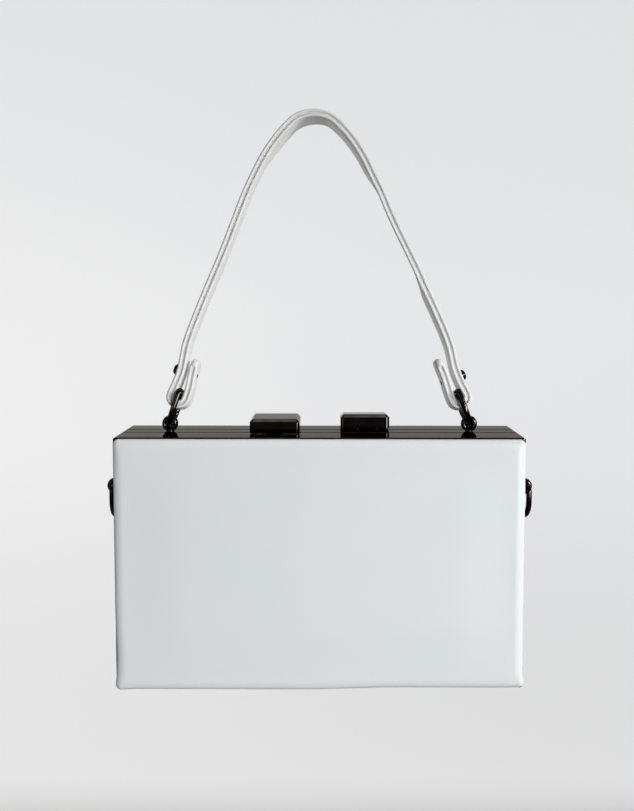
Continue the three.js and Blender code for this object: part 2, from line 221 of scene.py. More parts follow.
SIDES = {"left": -1, "right": 1}

# Camera from the photograph: place, yaw and pitch in degrees, focal length in pixels and optical centre
IMAGE = (634, 811)
CAMERA_AT = (3.46, -552.12, 62.28)
CAMERA_YAW = -0.479
CAMERA_PITCH = 5.168
CAMERA_FOCUS = 1152.8
CAMERA_CENTRE = (317.0, 405.5)
SENSOR = 36
NEAR_CLIP = 0.01

# Base colours of the finishes, each as two tones that it varies between, and tints of the metals
PANEL_TONES = ((0.785, 0.825, 0.845), (0.81, 0.835, 0.845))
STRAP_TONES = ((0.80, 0.81, 0.80), (0.83, 0.835, 0.825))
EDGE_TONES = ((0.75, 0.755, 0.75), (0.79, 0.795, 0.785))
FRAME_TONES = ((0.06, 0.051, 0.04), (0.086, 0.073, 0.058))
FRAME_TINT = (0.155, 0.127, 0.092, 1)
HARDWARE_TONES = ((0.045, 0.041, 0.04), (0.07, 0.065, 0.062))
HARDWARE_TINT = (0.4, 0.365, 0.325, 1)
LINING_TONES = ((0.42, 0.4, 0.38), (0.55, 0.53, 0.5))
PAPER_TONES = ((0.53, 0.49, 0.44), (0.55, 0.51, 0.46))

# Stage in metres: its size, the height of its floor and the radius of its sweep
STAGE_WIDTH = 9
STAGE_DEPTH = 4.6
STAGE_RISE = 4
STAGE_SWEEP = 0.7
STAGE_MIDDLE = -0.6
FLOOR = -0.8
# Glow of the backdrop: its strength low down, what is added above, and where it fades in and out
GLOW = 0.605
GLOW_ADDED = 0.1
GLOW_HEIGHTS = (FLOOR, -0.3)
GLOW_DEPTHS = (0.7, 1.1)
GLOW_ACROSS_SQUARED = (0.6, 1.6)
GLOW_TONES = ((0, 0, 0), (0.98, 1.0, 1.03))

# Lights in metres: place, aim, size, power, spread in degrees and colour
MIDDLE = (0, -0.02, -0.16)
LIGHTS = {
    "window": ((1.6, -0.65, 0.42), (0.0, -0.02, -0.1), (0.2, 0.28), 0.95, 44, (1.0, 0.995, 0.985)),
    "front": ((1.0, -1.48, -0.1), (-0.02, -0.02, -0.32), (0.5, 0.75), 1.47, 38, (0.98, 0.99, 1.0)),
    "fill": ((-1.2, -1.3, 0.2), MIDDLE, (1.0, 1.0), 0.4, 60, (0.97, 0.98, 1.0)),
    "back": ((-0.5, 0.6, 0.7), MIDDLE, (0.8, 0.4), 0.2, 60, (1.0, 0.98, 0.95)),
    "top_strip": ((0.02, -0.12, 0.8), MIDDLE, (0.32, 0.14), 0.045, 100, (1.0, 0.98, 0.95)),
}
ROOM_COLOUR = (1.0, 0.95, 0.88, 1)
ROOM_STRENGTH = 0.07

rim_low, rim_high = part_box("rim_frame")
RIM_TOP = Vector(((rim_low.x + rim_high.x) / 2, (rim_low.y + rim_high.y) / 2, rim_high.z))


def at(x, y, z):
    """A place on the bag, from millimetres to the frame."""
    return RIM_TOP + Vector((x, y, z)) * MM


HANDLE = Matrix.Translation(at(0, 0, EYE_REACH)) @ Matrix.Rotation(-math.radians(STRAP_LEAN), 4, "X")


# Working by hand

def rest():
    """Object mode, with nothing selected."""
    if bpy.context.mode != "OBJECT":
        bpy.ops.object.mode_set(mode="OBJECT")
    bpy.ops.object.select_all(action="DESELECT")


def take(obj):
    """Object mode, with one object selected and active."""
    rest()
    obj.select_set(True)
    bpy.context.view_layer.objects.active = obj


def named(name):
    """The object that was just added, under a name of its own."""
    obj = bpy.context.active_object
    obj.name = name
    obj.data.name = name
    return obj


def edit(obj):
    """Edit mode, with the whole mesh selected."""
    take(obj)
    bpy.ops.object.mode_set(mode="EDIT")
    bpy.ops.mesh.select_all(action="SELECT")


def pick(obj, kind, wanted):
    """Edit mode, with just the faces, edges or points selected whose middle and direction are wanted."""
    edit(obj)
    bpy.ops.mesh.select_mode(type=kind)
    bpy.ops.mesh.select_all(action="DESELECT")
    mesh = bmesh.from_edit_mesh(obj.data)
    if kind == "FACE":
        found = [f for f in mesh.faces if wanted(f.calc_center_median(), f.normal)]
    elif kind == "EDGE":
        ends = [(e, e.verts[0].co, e.verts[1].co) for e in mesh.edges]
        found = [e for e, a, b in ends if wanted((a + b) / 2, (b - a).normalized())]
    else:
        found = [v for v in mesh.verts if wanted(v.co, v.normal)]
    for part in found:
        part.select_set(True)
    mesh.select_flush_mode()
    bmesh.update_edit_mesh(obj.data)


def set_down(obj, matrix=None):
    """Puts a piece in its place and keeps the place in its mesh."""
    take(obj)
    if matrix is not None:
        obj.matrix_world = matrix @ obj.matrix_world
    bpy.ops.object.transform_apply(location=True, rotation=True, scale=True)
    return obj


def slab(name, low, high):
    """A box between two corners, to be shaped."""
    rest()
    bpy.ops.mesh.primitive_cube_add(size=1, location=(low + high) / 2, scale=high - low)
    return set_down(named(name))


def rod(name, radius, start, end, sides=32):
    """A round bar between two places, to be shaped."""
    rest()
    along = end - start
    turn = along.to_track_quat("Z", "Y").to_euler()
    bpy.ops.mesh.primitive_cylinder_add(
        vertices=sides, radius=radius, depth=along.length, location=(start + end) / 2, rotation=turn)
    return set_down(named(name))


def modify(obj, kind, **settings):
    """Adds a modifier and applies it."""
    take(obj)
    modifier = obj.modifiers.new(kind.title(), kind)
    for name, value in settings.items():
        setattr(modifier, name, value)
    bpy.ops.object.modifier_apply(modifier=modifier.name)


def soften(obj, width, segments=3, angle=50):
    """Rounds every edge that is sharper than an angle."""
    modify(obj, "BEVEL", width=width * MM, segments=segments, limit_method="ANGLE",
           angle_limit=math.radians(angle), harden_normals=False)


def tidy(obj):
    """Merges doubled points and turns all faces outwards."""
    edit(obj)
    bpy.ops.mesh.remove_doubles(threshold=MERGE * MM)
    bpy.ops.mesh.normals_make_consistent(inside=False)
    rest()


def joined(first, *others):
    """Some objects as one, which is the first of them."""
    rest()
    for obj in others:
        obj.select_set(True)
    first.select_set(True)
    bpy.context.view_layer.objects.active = first
    bpy.ops.object.join()
    return first


def copy_of(obj, name):
    take(obj)
    bpy.ops.object.duplicate(linked=False)
    return named(name)


def discard(obj):
    take(obj)
    bpy.ops.object.delete()


def pull(obj, wanted, move, reach):
    """Pulls some points, and less and less of what is near them."""
    pick(obj, "VERT", wanted)
    bpy.ops.transform.translate(
        value=Vector(move) * MM, use_proportional_edit=True,
        proportional_edit_falloff="SMOOTH", proportional_size=reach * MM)
    rest()


def show(obj, node, slot, *materials, smooth=40, flat=False):
    """Finishes a piece: its finish, its smoothness, and the frame's node that it stands for."""
    take(obj)
    bpy.ops.object.shade_smooth_by_angle(angle=math.radians(smooth))
    if flat:
        modify(obj, "WEIGHTED_NORMAL", weight=100, keep_sharp=True)
    if not obj.data.materials:
        for material in materials:
            obj.data.materials.append(material)
    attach(obj, frame["nodes"][node]["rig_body"])
    return obj


# Finishes

class Value:
    """A value over a surface. Arithmetic on it adds Math nodes to the same material."""

    def __init__(self, tree, socket):
        self.tree = tree
        self.socket = socket

    def node(self, kind, settings, inputs, output=0):
        """Adds a node: its type, its settings, then the values or links of its sockets."""
        made = self.tree.nodes.new(kind)
        for name, setting in settings.items():
            setattr(made, name, setting)
        for name, value in inputs.items():
            if isinstance(value, Value):
                self.tree.links.new(value.socket, made.inputs[name])
            else:
                made.inputs[name].default_value = value
        return Value(self.tree, made.outputs[output])

    def feed(self, node, name):
        self.tree.links.new(self.socket, node.inputs[name])

    def maths(self, operation, first, second):
        return self.node("ShaderNodeMath", {"operation": operation}, {0: first, 1: second})

    def __add__(self, other):
        return self.maths("ADD", self, other)

    __radd__ = __add__

    def __rsub__(self, other):
        return self.maths("SUBTRACT", other, self)

    def __mul__(self, other):
        return self.maths("MULTIPLY", self, other)

    __rmul__ = __mul__

    def between(self, low, high):
        """From 0 at low to 1 at high, smoothly."""
        inputs = {"Value": self, "From Min": low, "From Max": high}
        return self.node("ShaderNodeMapRange", {"interpolation_type": "SMOOTHSTEP"}, inputs)

    def stretched(self, scale):
        return self.node("ShaderNodeMapping", {}, {"Vector": self, "Scale": scale})

    def clouds(self, scale, detail=2.0, roughness=0.5):
        inputs = {"Vector": self, "Scale": scale, "Detail": detail, "Roughness": roughness}
        return self.node("ShaderNodeTexNoise", {}, inputs)

    def pebbles(self, scale):
        inputs = {"Vector": self, "Scale": scale}
        return self.node("ShaderNodeTexVoronoi", {"feature": "SMOOTH_F1"}, inputs)

    def mixed(self, first, second):
        """A colour between two others, by this value."""
        settings = {"data_type": "RGBA", "clamp_factor": True}
        return self.node("ShaderNodeMix", settings, {0: self, 6: (*first, 1), 7: (*second, 1)}, 2)

    def bump(self, depth, strength=1.0):
        inputs = {"Height": self, "Distance": depth * MM, "Strength": strength}
        return self.node("ShaderNodeBump", {}, inputs)


def new_finish(name, **constants):
    """A material, its shader, and the place on the surface."""
    material = bpy.data.materials.new(name)
    material.use_nodes = True
    tree = material.node_tree
    shader = tree.nodes["Principled BSDF"]
    for socket, value in constants.items():
        shader.inputs[socket.replace("_", " ")].default_value = value
    place = tree.nodes.new("ShaderNodeTexCoord")
    return material, shader, Value(tree, place.outputs["Object"])


def white_leather(name, cool, warm, grain, satin):
    """Smooth coated leather: a faint mottle, pebbles with a grain in millimetres, and a satin surface."""
    material, shader, place = new_finish(name, IOR=1.47, Coat_Roughness=0.2, Coat_Weight=0.08)
    mottle = place.clouds(22.0, 3.0, 0.55)
    pores = place.pebbles(1000.0 / grain)
    fine = place.clouds(2600.0, 2.0)
    mottle.between(0.35, 0.68).mixed(cool, warm).feed(shader, "Base Color")
    (satin + 0.08 * mottle + 0.06 * fine).feed(shader, "Roughness")
    (pores * 0.8 + fine * 0.35).bump(0.05, 0.22).feed(shader, "Normal")
    return material


def edge_paint():
    """Sealed and burnished edges of the plies."""
    material, shader, place = new_finish("edge_paint", IOR=1.5)
    wave = place.clouds(260.0, 2.0)
    wave.between(0.3, 0.7).mixed(*EDGE_TONES).feed(shader, "Base Color")
    (0.46 + 0.08 * wave).feed(shader, "Roughness")
    wave.bump(0.02, 0.05).feed(shader, "Normal")
    return material


def brushed_gunmetal():
    """Polished plating with fine lines that run along each band."""
    material, shader, place = new_finish("brushed_gunmetal", Metallic=1.0, Specular_Tint=FRAME_TINT)
    lines = place.stretched((9.0, 1500.0, 9.0)).clouds(1.0, 3.0, 0.6)
    smear = place.clouds(34.0, 3.0, 0.6)
    lines.between(0.25, 0.75).mixed(*FRAME_TONES).feed(shader, "Base Color")
    (0.03 + 0.05 * lines + 0.03 * smear).feed(shader, "Roughness")
    lines.bump(0.01, 0.06).feed(shader, "Normal")
    return material


def black_gunmetal():
    """Polished black plating, with faint smears and hairlines."""
    material, shader, place = new_finish("black_gunmetal", Metallic=1.0, Specular_Tint=HARDWARE_TINT)
    smear = place.clouds(140.0, 3.0, 0.6)
    hair = place.stretched((500.0, 500.0, 3000.0)).clouds(1.0, 2.0, 0.6)
    smear.between(0.3, 0.7).mixed(*HARDWARE_TONES).feed(shader, "Base Color")
    (0.05 + 0.06 * smear + 0.03 * hair).feed(shader, "Roughness")
    return material


def lining_suede():
    """Napped lining."""
    material, shader, place = new_finish("lining_suede", Sheen_Weight=0.3, IOR=1.4)
    nap = place.clouds(700.0, 4.0, 0.65)
    drift = place.clouds(30.0, 3.0)
    tone = nap * 0.6 + drift * 0.4
    tone.between(0.3, 0.7).mixed(*LINING_TONES).feed(shader, "Base Color")
    (0.8 + 0.15 * nap).feed(shader, "Roughness")
    nap.bump(0.2, 0.5).feed(shader, "Normal")
    return material


def pale_paper():
    """Studio paper, lit from behind where it sweeps up."""
    material, shader, place = new_finish("pale_paper", Roughness=0.9, Emission_Strength=1.0)
    place.clouds(3.0).mixed(*PAPER_TONES).feed(shader, "Base Color")
    across, behind, height = [
        place.node("ShaderNodeSeparateXYZ", {}, {"Vector": place}, i) for i in range(3)]
    lit = behind.between(*GLOW_DEPTHS) * (1 - (across * across).between(*GLOW_ACROSS_SQUARED))
    glow = (GLOW + GLOW_ADDED * height.between(*GLOW_HEIGHTS)) * lit
    glow.mixed(*GLOW_TONES).feed(shader, "Emission Color")
    # The glow reaches the bag by bounced rays alone, which leaves more of the samples to the lights
    material.cycles.emission_sampling = "NONE"
    return material


PANEL_LEATHER = white_leather("panel_leather", *PANEL_TONES, grain=0.75, satin=0.34)
STRAP_LEATHER = white_leather("strap_leather", *STRAP_TONES, grain=0.6, satin=0.3)
EDGE_PAINT = edge_paint()
FRAME_METAL = brushed_gunmetal()
HARDWARE_METAL = black_gunmetal()
LINING = lining_suede()


# Case

def band(name, node, panel_side):
    """A metal band of the case. One that carries a panel has an inward lip on that side."""
    low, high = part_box(node)
    obj = slab(name, low, high)
    pick(obj, "EDGE", lambda middle, along: abs(along.y) > ALONG)
    bpy.ops.mesh.bevel(offset=FRAME_CORNER * MM, segments=8, affect="EDGES")
    if panel_side:
        pick(obj, "FACE", lambda middle, normal: normal.y * panel_side > ALONG)
        bpy.ops.mesh.inset(thickness=(FRAME_THICKNESS + LIP_WIDTH) * MM)
        bpy.ops.mesh.delete(type="FACE")
        pick(obj, "FACE", lambda middle, normal: normal.y * panel_side < -ALONG)
    else:
        pick(obj, "FACE", lambda middle, normal: abs(normal.y) > ALONG)
    bpy.ops.mesh.delete(type="FACE")
    tidy(obj)
    modify(obj, "SOLIDIFY", thickness=FRAME_THICKNESS * MM, offset=-1, use_even_offset=True)
    margin = Vector((BAND_MARGIN, 0, BAND_MARGIN)) * MM
    start, end = low + margin, high - margin
    pick(obj, "EDGE", lambda middle, along: abs(along.y) < ACROSS and not (
        start.x < middle.x < end.x and start.z < middle.z < end.z))
    bpy.ops.mesh.bevel(offset=SEAM_ROUND * MM, segments=5, affect="EDGES", clamp_overlap=False)
    soften(obj, FRAME_EDGE)
    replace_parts(show(obj, node, "frame_metal", FRAME_METAL, flat=True), node)


def cover(name, node, carrier, outward):
    """A padded panel: rounded corners, a rolled edge, a little crown and the set of the leather."""
    panel_low, panel_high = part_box(node)
    low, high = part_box(carrier)
    inset = Vector((PANEL_SIDE_INSET, 0, PANEL_END_INSET)) * MM
    low, high = low + inset, high - inset
    if outward < 0:
        low.y, high.y = panel_low.y + ROLL_DEPTH * MM, low.y - HAIR * MM
    else:
        low.y, high.y = high.y + HAIR * MM, panel_high.y - ROLL_DEPTH * MM
    edge = low.y if outward < 0 else high.y
    obj = slab(name, low, high)
    pick(obj, "EDGE", lambda middle, along: abs(along.y) > ALONG)
    bpy.ops.mesh.bevel(offset=PANEL_CORNER * MM, segments=8, affect="EDGES")
    inward, risen = 0.0, 0.0
    for i in range(1, ROLL_STEPS + 1):
        turn = math.radians(90) * i / ROLL_STEPS
        next_inward = ROLL_WIDTH * (1 - math.cos(turn))
        next_risen = ROLL_DEPTH * math.sin(turn)
        pick(obj, "FACE", lambda middle, normal: normal.y * outward > FLAT)
        bpy.ops.mesh.inset(thickness=(next_inward - inward) * MM, depth=(next_risen - risen) * MM)
        inward, risen = next_inward, next_risen
        if PANEL_CORNER - CORNER_CLOSING < inward < PANEL_CORNER:
            level = edge + outward * risen * MM
            for x in (low.x + PANEL_CORNER * MM, high.x - PANEL_CORNER * MM):
                for z in (low.z + PANEL_CORNER * MM, high.z - PANEL_CORNER * MM):
                    round_end = Vector((x, level, z))
                    pick(obj, "VERT", lambda place, normal: (
                        (place - round_end).length < CORNER_MERGE * MM))
                    bpy.ops.mesh.merge(type="CENTER")
    for count, facing in ((PANEL_COLUMNS, (1, 0, 0)), (PANEL_ROWS, (0, 0, 1))):
        for i in range(1, count):
            edit(obj)
            bpy.ops.mesh.bisect(plane_co=low.lerp(high, i / count), plane_no=facing)
    margin = Vector((CROWN_MARGIN, 0, CROWN_MARGIN)) * MM
    start, end = low + margin, high - margin
    pull(obj, lambda place, normal: (
        start.x < place.x < end.x and start.z < place.z < end.z and normal.y * outward > ALONG),
        (0, outward * PANEL_CROWN, 0), CROWN_MARGIN)
    for (low_x, high_x), (low_z, high_z), move, reach in PANEL_PULLS[node]:
        start, end = at(low_x, 0, low_z), at(high_x, 0, high_z)
        pull(obj, lambda place, normal: (
            start.x < place.x < end.x and start.z < place.z < end.z), move, reach)
    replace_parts(show(obj, node, "panel_leather", PANEL_LEATHER, flat=True), node)


def lining(name, carrier, outward):
    """A napped board that fills the opening inside a band's lip."""
    low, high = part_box(carrier)
    inward = FRAME_THICKNESS + LIP_WIDTH + LINING_GAP
    inset = Vector((inward, 0, inward)) * MM
    low, high = low + inset, high - inset
    if outward < 0:
        high.y = low.y + FRAME_THICKNESS * MM
    else:
        low.y = high.y - FRAME_THICKNESS * MM
    obj = slab(name, low, high)
    soften(obj, LINING_EDGE, 4)
    show(obj, carrier, "panel_leather", LINING)


def block(name, node, x, y, depth, lift, slope, foot_to):
    """A clasp block with a chamfered top, on a tapered foot."""
    width, height = BLOCK_SIZE
    half = Vector((width / 2, 0, 0)) * MM
    obj = slab(name, -half, half + Vector((0, depth, height)) * MM)
    pick(obj, "EDGE", lambda middle, along: abs(along.z) > ALONG)
    bpy.ops.mesh.bevel(offset=BLOCK_CORNER * MM, segments=5, affect="EDGES")
    pick(obj, "EDGE", lambda middle, along: middle.z > height * NEAR_TOP * MM)
    bpy.ops.mesh.bevel(offset=BLOCK_CHAMFER * MM, segments=1, affect="EDGES")
    soften(obj, BLOCK_EDGE, 2, 30)
    set_down(obj, Matrix.Translation(at(x, y, lift)) @ Matrix.Rotation(math.radians(slope), 4, "X"))
    foot_low = at(x - FOOT_WIDTH / 2, y + FOOT_SETBACK, HAIR)
    foot_high = at(x + FOOT_WIDTH / 2, foot_to, lift + height / 4)
    foot = slab(name + "_foot", foot_low, foot_high)
    pick(foot, "FACE", lambda middle, normal: normal.z > ALONG)
    bpy.ops.transform.resize(
        value=(1 - 2 * FOOT_TAPER / FOOT_WIDTH, 1, 1), center_override=(foot_low + foot_high) / 2)
    front_top = Vector(((foot_low.x + foot_high.x) / 2, foot_low.y, foot_high.z))
    pick(foot, "EDGE", lambda middle, along: (middle - front_top).length < HAIR * MM)
    bpy.ops.transform.translate(value=(0, foot_high.z - foot_low.z, 0))
    soften(foot, FOOT_EDGE, 2)
    joined(obj, foot)
    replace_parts(show(obj, node, "hardware_metal", HARDWARE_METAL, flat=True), node)


def hinge_leaf(name, node, spans, outward):
    """A hinge leaf with its knuckles, under the bottom of the case."""
    low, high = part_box("hinge_front")
    axis = Vector((RIM_TOP.x, high.y - HINGE_KNUCKLE * MM, low.z + HINGE_KNUCKLE * MM))
    parts = []
    for start, end in spans:
        knuckle_start = axis + Vector((start * MM, 0, 0))
        knuckle_end = axis + Vector((end * MM, 0, 0))
        knuckle = rod(name + "_knuckle", HINGE_KNUCKLE * MM, knuckle_start, knuckle_end)
        soften(knuckle, HINGE_KNUCKLE_EDGE, 3)
        near = Vector((axis.x + start * MM, axis.y, high.z - HINGE_LEAF * MM))
        far = Vector((axis.x + end * MM, axis.y + outward * HINGE_LEAF_DEPTH * MM, high.z))
        leaf_low = Vector(map(min, near, far))
        leaf_high = Vector(map(max, near, far))
        leaf = slab(name + "_plate", leaf_low, leaf_high)
        pick(leaf, "EDGE", lambda middle, along: abs(along.z) > ALONG)
        bpy.ops.mesh.bevel(offset=HINGE_LEAF_CORNER * MM, segments=5, affect="EDGES")
        soften(leaf, HINGE_LEAF_EDGE, 2)
        parts += [knuckle, leaf]
    obj = joined(*parts)
    obj.name = name
    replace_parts(show(obj, node, "hardware_metal", HARDWARE_METAL, flat=True), node)


# Hardware

def ball_eye(reach):
    """A ball eye on a waisted neck, standing along +Z, with its hole along Y."""
    hole = Vector((0, 0, reach)) * MM
    rest()
    bpy.ops.mesh.primitive_torus_add(
        major_radius=EYE_RADIUS * MM, minor_radius=EYE_TUBE * MM, major_segments=56, minor_segments=24,
        location=hole, rotation=(math.radians(90), 0, 0))
    obj = set_down(named("ball_eye"))
    edit(obj)
    bpy.ops.transform.resize(value=(1, EYE_HALF_WIDTH / EYE_TUBE, 1), center_override=hole)
    neck_top = (reach - EYE_RADIUS + EYE_NECK_LAP) * MM
    neck = rod("neck", EYE_NECK * MM, Vector((0, 0, HAIR * MM)), Vector((0, 0, neck_top)))
    pick(neck, "EDGE", lambda middle, along: middle.z > neck_top * NEAR_TOP and abs(along.z) < ACROSS)
    bpy.ops.transform.resize(
        value=(EYE_NECK_WAIST, EYE_NECK_WAIST, 1), center_override=(0, 0, neck_top))
    soften(neck, EYE_NECK_EDGE, 2)
    return joined(obj, neck)


def wire_ring(length):
    """A D-shaped ring of round wire in the YZ plane. The middle of its straight bar is the origin."""
    side = (RING_HALF - RING_CORNER) * MM
    corner = RING_CORNER * MM
    straight = (length - RING_HALF - RING_CORNER) * MM
    quarter = math.radians(90)
    rest()
    bpy.ops.mesh.primitive_circle_add(
        vertices=24, radius=WIRE_BODY * MM, fill_type="NOTHING", rotation=(quarter, 0, 0))
    obj = set_down(named("wire_ring"))
    edit(obj)
    bpy.ops.mesh.extrude_region_move(TRANSFORM_OT_translate={"value": (0, side, 0)})
    bpy.ops.mesh.spin(steps=10, angle=quarter, center=(0, side, -corner), axis=(1, 0, 0))
    bpy.ops.mesh.extrude_region_move(TRANSFORM_OT_translate={"value": (0, 0, -straight)})
    bpy.ops.mesh.spin(steps=36, angle=2 * quarter, center=(0, 0, -corner - straight), axis=(1, 0, 0))
    bpy.ops.mesh.extrude_region_move(TRANSFORM_OT_translate={"value": (0, 0, straight)})
    bpy.ops.mesh.spin(steps=10, angle=quarter, center=(0, -side, -corner), axis=(1, 0, 0))
    bpy.ops.mesh.extrude_region_move(TRANSFORM_OT_translate={"value": (0, side, 0)})
    tidy(obj)
    return obj


def hang(model, name, node, matrix):
    """A copy of a model, in the place of a node."""
    obj = set_down(copy_of(model, name), matrix)
    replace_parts(show(obj, node, "hardware_metal", HARDWARE_METAL, smooth=60), node)


def ring_bar(word):
    """Middles of a strap ring's bar and of the fold below it, and the directions up and out there."""
    side = SIDES[word]
    tilt = math.radians(RING_TILT[word])
    up = Vector((-side * math.sin(tilt), 0, math.cos(tilt)))
    out = Vector((side * up.z, 0, -side * up.x))
    bar = Vector((side * POST_X, 0, 0)) + up * STRAP_RING_LENGTH
    return bar, bar - up * FOLD_DROP, up, out


def layer_out(rows, rise):
    """Distance out from the fold of a layer of the strap, between its low and its high row."""
    away = dict(rows)
    share = (rise - LOW_ROW) / (HIGH_ROW - LOW_ROW)
    return away[LOW_ROW] + (away[HIGH_ROW] - away[LOW_ROW]) * share


def rivet_head(name):
    """The domed head of a rivet, along +Z."""
    dome = rod(name, RIVET_HEAD * MM, Vector((0, 0, 0)), Vector((0, 0, RIVET_DOME)) * MM, 40)
    pick(dome, "EDGE", lambda middle, along: middle.z > RIVET_DOME * NEAR_TOP * MM)
    bpy.ops.mesh.bevel(offset=RIVET_ROUND * MM, segments=7, affect="EDGES")
    rest()
    return dome


def rivet(word):
    """A rivet through a strap end: its domed head on the outside and its small flat end on the tab."""
    name = word + "_rivet"
    node = "rivet_" + word
    _, fold, up, out = ring_bar(word)
    rise = RIVET_UP[word]
    main = layer_out(MAIN_ROWS[word], rise)
    tab = layer_out(TAB_ROWS[word], rise)
    turn = HANDLE @ Matrix.Translation((fold + up * rise) * MM) @ Matrix.Rotation(
        math.pi / 2 - math.atan2(out.z, out.x), 4, "Y")
    head = rivet_head(name)
    set_down(head, turn @ Matrix.Translation((0, 0, (main + STRAP_HALF - RIVET_SINK) * MM)))
    face = Vector((0, 0, tab - STRAP_HALF)) * MM
    half = Vector((0, 0, RIVET_BACK_HALF)) * MM
    end = rod(name + "_end", RIVET_BACK * MM, face - half, face + half)
    soften(end, RIVET_BACK_EDGE, 3)
    obj = joined(head, set_down(end, turn))
    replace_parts(show(obj, node, "hardware_metal", HARDWARE_METAL), node)


# Strap

def smooth_line(stops):
    """Close places along a smooth line through the stops, each stop being (place, step)."""
    places = [place for place, step in stops]
    places = [2 * places[0] - places[1], *places, 2 * places[-1] - places[-2]]
    line = [places[1]]
    for i in range(1, len(places) - 2):
        before, start, end, after = places[i - 1:i + 3]
        a, b, c = [math.sqrt((q - p).length) for p, q in ((before, start), (start, end), (end, after))]
        leave = a * a * end - b * b * before + (2 * a * a + 3 * a * b + b * b) * start
        leave /= 3 * a * (a + b)
        arrive = c * c * start - b * b * after + (2 * c * c + 3 * c * b + b * b) * end
        arrive /= 3 * c * (c + b)
        steps = max(3, math.ceil((end - start).length / min(stops[i - 1][1], stops[i][1])))
        line += interpolate_bezier(start, leave, arrive, end, steps + 1)[1:]
    return line


def strap_half(word):
    """Stops from the end of a tab, round the fold and up to the top, with the step to take near each."""
    _, fold, up, out = ring_bar(word)
    side = SIDES[word]
    stops = [(fold + out * away + up * rise, TAB_STEP) for rise, away in TAB_ROWS[word]]
    for i in range(FOLD_STOPS + 1):
        angle = math.pi * (1 + i / FOLD_STOPS)
        spoke = out * math.cos(angle) + up * math.sin(angle)
        stops.append((fold + spoke * FOLD_RADIUS, FOLD_STEP))
    stops += [(fold + out * away + up * rise, MAIN_STEP) for rise, away in MAIN_ROWS[word]]
    for rise, away in reversed(HANDLE_ROWS):
        stops.append((Vector((side * away[word] - STRAP_DRIFT * rise, 0, rise)), HANDLE_STEP))
    return stops


def strap_section():
    """A slice of the strap: two plies with round edges, and a core between them that stands back."""
    offset = (PLY + CORE) * MM
    rest()
    bpy.ops.mesh.primitive_plane_add(size=1, location=(-offset / 2, 0, 0))
    obj = named("handle_strap")
    obj.scale = ((PLY - HAIR) * MM, STRAP_WIDTH * MM, 1)
    set_down(obj)
    edit(obj)
    bpy.ops.mesh.bevel(offset=(PLY - 2 * HAIR) / 2 * MM, segments=6, affect="VERTICES")
    edit(obj)
    bpy.ops.mesh.duplicate_move(TRANSFORM_OT_translate={"value": (offset, 0, 0)})
    rest()
    bpy.ops.mesh.primitive_plane_add(size=1)
    core = named("strap_core")
    core.scale = ((CORE - HAIR) * MM, (STRAP_WIDTH - 2 * CORE_RECESS) * MM, 1)
    return joined(obj, set_down(core))


def tongue(tip, heading):
    """The wrapped and rounded end of the strap, from its tip on."""
    corner = Vector((STRAP_HALF - HAIR, STRAP_WIDTH / 2, 0)) * MM
    obj = slab("tongue", -corner, corner + Vector((0, 0, TONGUE)) * MM)
    pick(obj, "EDGE", lambda middle, along: abs(along.x) > ALONG and middle.z < HAIR * MM)
    bpy.ops.mesh.bevel(offset=TONGUE_ROUND * MM, segments=8, affect="EDGES")
    pick(obj, "EDGE", lambda middle, along: abs(along.x) < ACROSS and middle.z < (TONGUE - HAIR) * MM)
    bpy.ops.mesh.bevel(offset=TONGUE_EDGE * MM, segments=6, affect="EDGES", clamp_overlap=False)
    rest()
    return set_down(obj, Matrix.Translation(tip) @ Matrix.Rotation(heading, 4, "Y"))


def strap():
    """The plies and the core walked along the line of the strap, between its two tongues."""
    stops = strap_half("left") + strap_half("right")[-2::-1]
    line = [place * MM for place in smooth_line(stops)]
    heading = []
    travelled = [0.0]
    for i, place in enumerate(line):
        ahead = line[min(i + 1, len(line) - 1)] - line[max(i - 1, 0)]
        heading.append(math.atan2(ahead.x, ahead.z))
        if i:
            travelled.append(travelled[-1] + (place - line[i - 1]).length)

    lap = (TONGUE - TONGUE_LAP) * MM
    walked = [i for i, way in enumerate(travelled) if lap < way < travelled[-1] - lap]
    first = walked[0]
    obj = strap_section()
    set_down(obj, Matrix.Translation(line[first]) @ Matrix.Rotation(heading[first], 4, "Y"))
    edit(obj)
    for i in walked[1:]:
        bpy.ops.mesh.extrude_region_move(TRANSFORM_OT_translate={"value": line[i] - line[i - 1]})
        turn = (heading[i] - heading[i - 1] + math.pi) % (2 * math.pi) - math.pi
        bpy.ops.transform.rotate(value=-turn, orient_axis="Y", center_override=line[i])
    joined(obj, tongue(line[0], heading[0]), tongue(line[-1], heading[-1] + math.pi))
    tidy(obj)
    far = STRAP_WIDTH * FAR_EDGE_SHARE * MM
    for (low_x, high_x), (low_z, high_z), move, reach in FAR_EDGE_PULLS:
        pull(obj, lambda place, normal: (
            place.y > far and low_x < place.x / MM < high_x
            and low_z < place.z / MM < high_z), move, reach)
    for material in (STRAP_LEATHER, EDGE_PAINT):
        obj.data.materials.append(material)
    pick(obj, "FACE", lambda middle, normal: abs(normal.y) > EDGE_SLANT)
    obj.active_material_index = 1
    bpy.ops.object.material_slot_assign()
    set_down(obj, HANDLE)
    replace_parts(show(obj, "strap", "strap_leather", smooth=50), "strap")


# The whole bag

band("front_band", "front_frame", -1)
band("rim_band", "rim_frame", 0)
band("back_band", "back_frame", 1)
cover("front_cover", "front_panel", "front_frame", -1)
cover("back_cover", "back_panel", "back_frame", 1)
lining("front_lining", "front_frame", -1)
lining("back_lining", "back_frame", 1)
block("front_block", "clasp_front", **BLOCKS["clasp_front"])
block("back_block", "clasp_back", **BLOCKS["clasp_back"])
sixth = HINGE_LENGTH / 6
hinge_leaf("front_hinge_leaf", "hinge_front", [(HINGE_GAP - sixth, sixth - HINGE_GAP)], -1)
hinge_leaf("back_hinge_leaf", "hinge_back", [(-3 * sixth, -sixth), (sixth, 3 * sixth)], 1)

